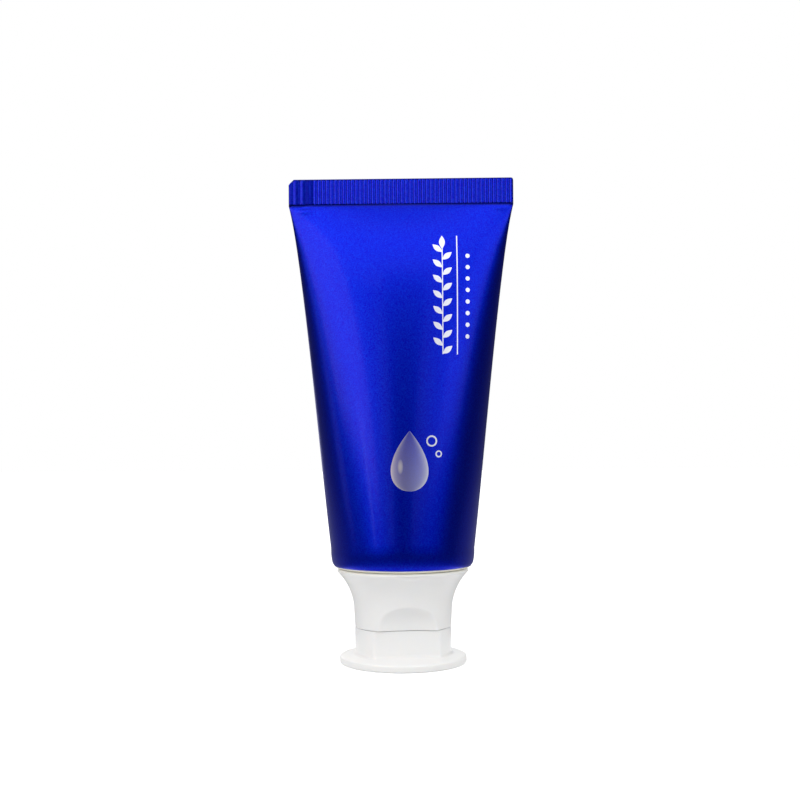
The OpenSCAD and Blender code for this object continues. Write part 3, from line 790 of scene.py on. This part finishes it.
def studio_world():
    """Even white all round: a little dimmer as light than as background."""
    world = bpy.context.scene.world or bpy.data.worlds.new("studio")
    bpy.context.scene.world = world
    world.use_nodes = True
    tree = world.node_tree
    tree.nodes.clear()
    light, seen = (node(tree, "ShaderNodeBackground", inputs={"Color": linear("#ffffff"), "Strength": strength})
                   for strength in (WORLD_LIGHT, WORLD_SEEN))
    node(tree, "ShaderNodeOutputWorld", links={"Surface": white_to_view(tree, light.outputs[0], seen.outputs[0])})


def studio_floor():
    """A pale matt floor. To camera and gloss it glows a little more, so that it runs into the white background and
    still takes the tube's shadow."""
    mesh = bpy.data.meshes.new("floor")
    mesh.from_pydata([(-5, -5, 0), (5, -5, 0), (5, 5, 0), (-5, 5, 0)], [], [(0, 1, 2, 3)])
    floor = bpy.data.objects.new("floor", mesh)
    bpy.context.scene.collection.objects.link(floor)
    paint = bpy.data.materials.new("white_floor")
    paint.use_nodes = True
    tree = paint.node_tree
    shader = tree.nodes["Principled BSDF"]
    shader.inputs["Base Color"].default_value = linear("#dcdcdc")
    shader.inputs["Roughness"].default_value = 0.9
    shader.inputs["Specular IOR Level"].default_value = 0.0
    lift = node(tree, "ShaderNodeEmission", inputs={"Color": linear("#ffffff"), "Strength": FLOOR_LIFT})
    both = node(tree, "ShaderNodeAddShader", links={0: shader.outputs[0], 1: lift.outputs[0]})
    surface = white_to_view(tree, shader.outputs[0], both.outputs[0])
    tree.links.new(surface, tree.nodes["Material Output"].inputs["Surface"])
    mesh.materials.append(paint)


def studio_lights():
    """Two softboxes, two reflectors, and flags that cut the foil's reflections to the dark and light bands of such
    a tube in a product studio. Cards and flags show in gloss only."""
    softbox("left_softbox", (-0.52, -0.60, 0.34), (0, 0, 0.34), 0.045, 0.5, 0.31)
    softbox("top_softbox", (0.0, -0.40, 0.55), MIDDLE, 0.7, 0.36, 0.82)
    dark = card_paint("dark_card", 0.1)
    card("flag_behind_left", (-0.48, 0.25, 0.2), MIDDLE, 0.7, 0.6, dark)
    card("flag_behind_right", (0.42, 0.34, 0.2), MIDDLE, 0.8, 0.6, dark)
    card("flag_right", (0.56, -0.07, 0.2), MIDDLE, 0.38, 0.6, dark)
    graded = card_paint("graded_card", 0.06, 0.84, 0.08, 0.4)
    card("flag_front", (0.01, -0.40, 0.2), (0.01, 0, 0.2), 0.17, 0.4, graded)
    card("flag_overhead", (0, -0.6, 0.75), MIDDLE, 1.3, 0.6, card_paint("grey_card", 0.7))
    reflector("warm_reflector", [(69, 7), (29, 7), (37, 54), (77, 54)],
              card_paint("warm_card", 4.5, 3.5, 0.15, 0.77, "#ffc8aa"))
    reflector("right_reflector", [(-38, 8), (-62, 8), (-62, 42), (-38, 42)], card_paint("white_card", 1.9))
    low = FLAG_LIFT
    ring_flag("floor_flag_front", -180, 0, (0.07, low), (1.5, low), dark)
    ring_flag("floor_flag_back", 0, 180, (0.04, low), (1.5, low), card_paint("dim_card", 0.28))
    ring_flag("floor_flag_near", -180, 0, (0.016, low), (0.07, low), card_paint("mid_card", 0.8))
    ring_flag("low_flag", -165, -15, (0.92, low), (0.92, 0.16), card_paint("low_card", 0.05))


def photo_camera():
    """The camera of the photo, as fitted to the foot, the rim and the seal: level, CAMERA_FAR off the axis and
    CAMERA_Z up, a little to the right of the front and rolled, with the horizon HORIZON_PX under the middle."""
    camera = bpy.data.objects.new("camera", bpy.data.cameras.new("camera"))
    bpy.context.scene.collection.objects.link(camera)
    bpy.context.scene.camera = camera
    c, s = math.cos(CAMERA_AZIMUTH), math.sin(CAMERA_AZIMUTH)
    camera.location = (CAMERA_FAR * s - CAMERA_LEFT * c, -CAMERA_FAR * c - CAMERA_LEFT * s, CAMERA_Z)
    camera.rotation_mode = "XYZ"
    camera.rotation_euler = (Matrix.Rotation(CAMERA_AZIMUTH, 3, "Z") @ Matrix.Rotation(math.pi / 2, 3, "X")
                             @ Matrix.Rotation(-CAMERA_ROLL, 3, "Z")).to_euler()
    camera.data.sensor_width = 36
    camera.data.lens = FOCAL_PX / PICTURE_PX * 36
    camera.data.shift_y = HORIZON_PX / PICTURE_PX
    camera.data.clip_start, camera.data.clip_end = 0.01, 20


# The finishes
printed_foil = laminate()
# White polypropylene, injection moulded with a fine spark finish: a soft semi-gloss
cap_plastic = moulded("moulded_polypropylene", "#f4f4f3", 0.38, 0.35, 0.15, 0.8)
# Natural polyethylene, injection moulded: cream and waxy
shoulder_plastic = moulded("natural_polyethylene", "#faf4e0", 0.45, 0.4, 0.15, 2.0)
# Toothpaste: a wet, smooth white gel
paste = moulded("toothpaste_gel", "#f6fbfb", 0.2, 1.2, 0.1, 2.0)

# The solids take them too
for name, finish in (("shoulder_neck", shoulder_plastic), ("toothpaste_fill", paste), ("cap_base", cap_plastic),
                     ("hinge_film", cap_plastic), ("flip_lid", cap_plastic), ("tube_sleeve", printed_foil)):
    nodes[name].data.materials.clear()
    nodes[name].data.materials.append(finish)

# The pieces that take the solids' places
grid, web = sleeve_surface()
sleeve = mesh_of("sleeve_web", grid, printed_foil, "tube", uv=web)
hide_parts("tube_sleeve")

around = np.radians(np.arange(0, 360, TURN_STEP))
shoulder = mesh_of("shoulder_and_neck", shoulder_surface(around), shoulder_plastic, "tube", wrap_rows=True, sharp=55)
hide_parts("shoulder_neck")

screw_cap = mesh_of("screw_cap", cap_base_surface(around), cap_plastic, "cap", wrap_rows=True, sharp=55)
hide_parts("cap_base")

lid = mesh_of("lid_and_foot", flip_lid_surface(around), cap_plastic, "lid", sharp=55)
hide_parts("flip_lid")

film = mesh_of("film_hinge", film_surface(), cap_plastic, None, flip=True, sharp=55)
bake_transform(film)
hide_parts("hinge_film")

# The studio and the camera
studio_world()
studio_floor()
studio_lights()
photo_camera()
bpy.context.scene.view_settings.view_transform = "Standard"
